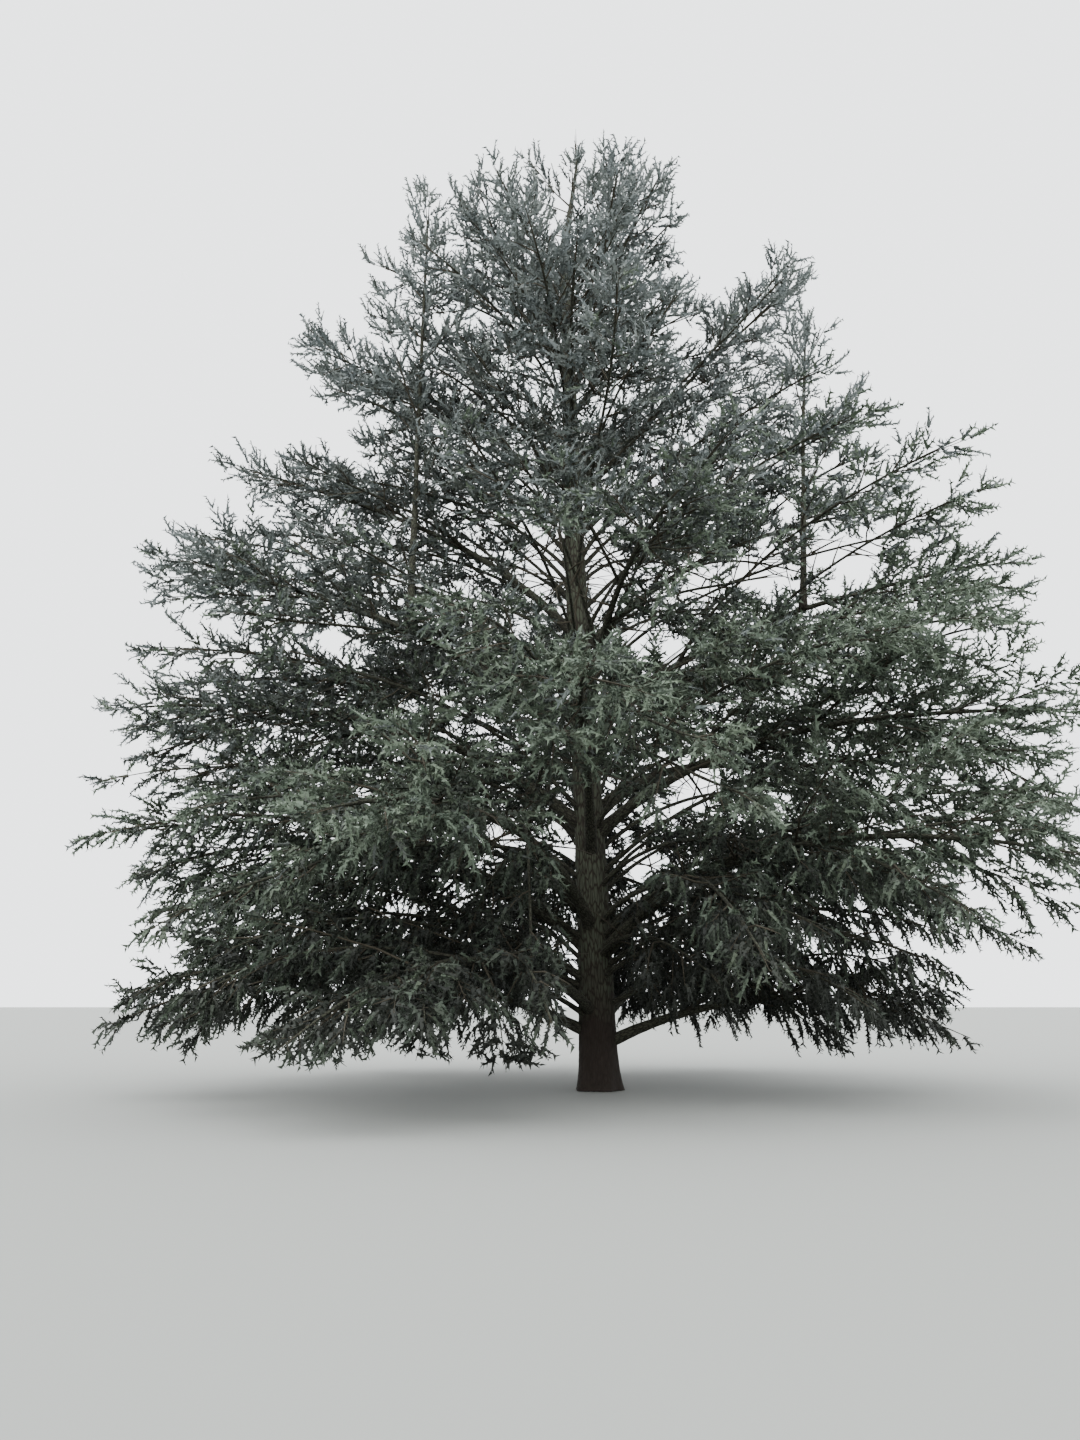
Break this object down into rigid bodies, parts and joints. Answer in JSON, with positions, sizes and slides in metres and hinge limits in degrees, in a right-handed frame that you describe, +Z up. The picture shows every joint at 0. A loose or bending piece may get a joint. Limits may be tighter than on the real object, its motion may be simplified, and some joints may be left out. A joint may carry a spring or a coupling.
{
  "type": "mature blue atlas cedar",
  "caption": "Open-grown blue atlas cedar, rooted in the ground: a leaning trunk with root flare, tiers of rising boughs, upright leaders standing on boughs and layered masses of needle sprays.",
  "frame": {"origin": "middle of the flat cut under the trunk, at ground level", "axes": "+Z up, -Y towards the picture's camera, +X to the right seen from there"},
  "size_m": [18.0905, 18.2296, 21.4532],
  "materials": {
    "trunk_bark": "fissured grey-brown bark in small scaly plates, darker at the foot, with a thin film of algae above",
    "bough_bark": "finer, smoother grey-brown bark on boughs and twigs",
    "needles": "matt blue-green needles with a waxy bloom, greener and darker inside the crown"
  },
  "bodies": {
    "root": {"broad_1_bough": "bough_bark", "broad_1_foliage": "needles", "broad_2_bough": "bough_bark", "broad_2_foliage": "needles", "broad_3_bough": "bough_bark", "broad_3_foliage": "needles", "broad_4_bough": "bough_bark", "broad_4_foliage": "needles", "broad_5_bough": "bough_bark", "broad_5_foliage": "needles", "crown_1_foliage": "needles", "crown_2_foliage": "needles", "crown_3_foliage": "needles", "high_1_foliage": "needles", "high_2_foliage": "needles", "high_3_foliage": "needles", "left_leader_bough": "bough_bark", "left_leader_foliage": "needles", "lower_1_bough": "bough_bark", "lower_1_foliage": "needles", "lower_2_bough": "bough_bark", "lower_2_foliage": "needles", "lower_3_bough": "bough_bark", "lower_3_foliage": "needles", "lower_4_bough": "bough_bark", "lower_4_foliage": "needles", "lower_5_bough": "bough_bark", "lower_5_foliage": "needles", "middle_1_bough": "bough_bark", "middle_1_foliage": "needles", "middle_2_bough": "bough_bark", "middle_2_foliage": "needles", "middle_3_bough": "bough_bark", "middle_3_foliage": "needles", "middle_4_bough": "bough_bark", "middle_4_foliage": "needles", "middle_5_bough": "bough_bark", "middle_5_foliage": "needles", "right_leader_bough": "bough_bark", "right_leader_foliage": "needles", "skirt_1_bough": "bough_bark", "skirt_1_foliage": "needles", "skirt_2_bough": "bough_bark", "skirt_2_foliage": "needles", "skirt_3_bough": "bough_bark", "skirt_3_foliage": "needles", "skirt_4_bough": "bough_bark", "skirt_4_foliage": "needles", "skirt_5_bough": "bough_bark", "skirt_5_foliage": "needles", "spur_1_bough": "bough_bark", "spur_1_foliage": "needles", "top_foliage": "needles", "trunk": "trunk_bark", "upper_1_bough": "bough_bark", "upper_1_foliage": "needles", "upper_2_bough": "bough_bark", "upper_2_foliage": "needles", "upper_3_bough": "bough_bark", "upper_3_foliage": "needles"}
  },
  "joints": []
}
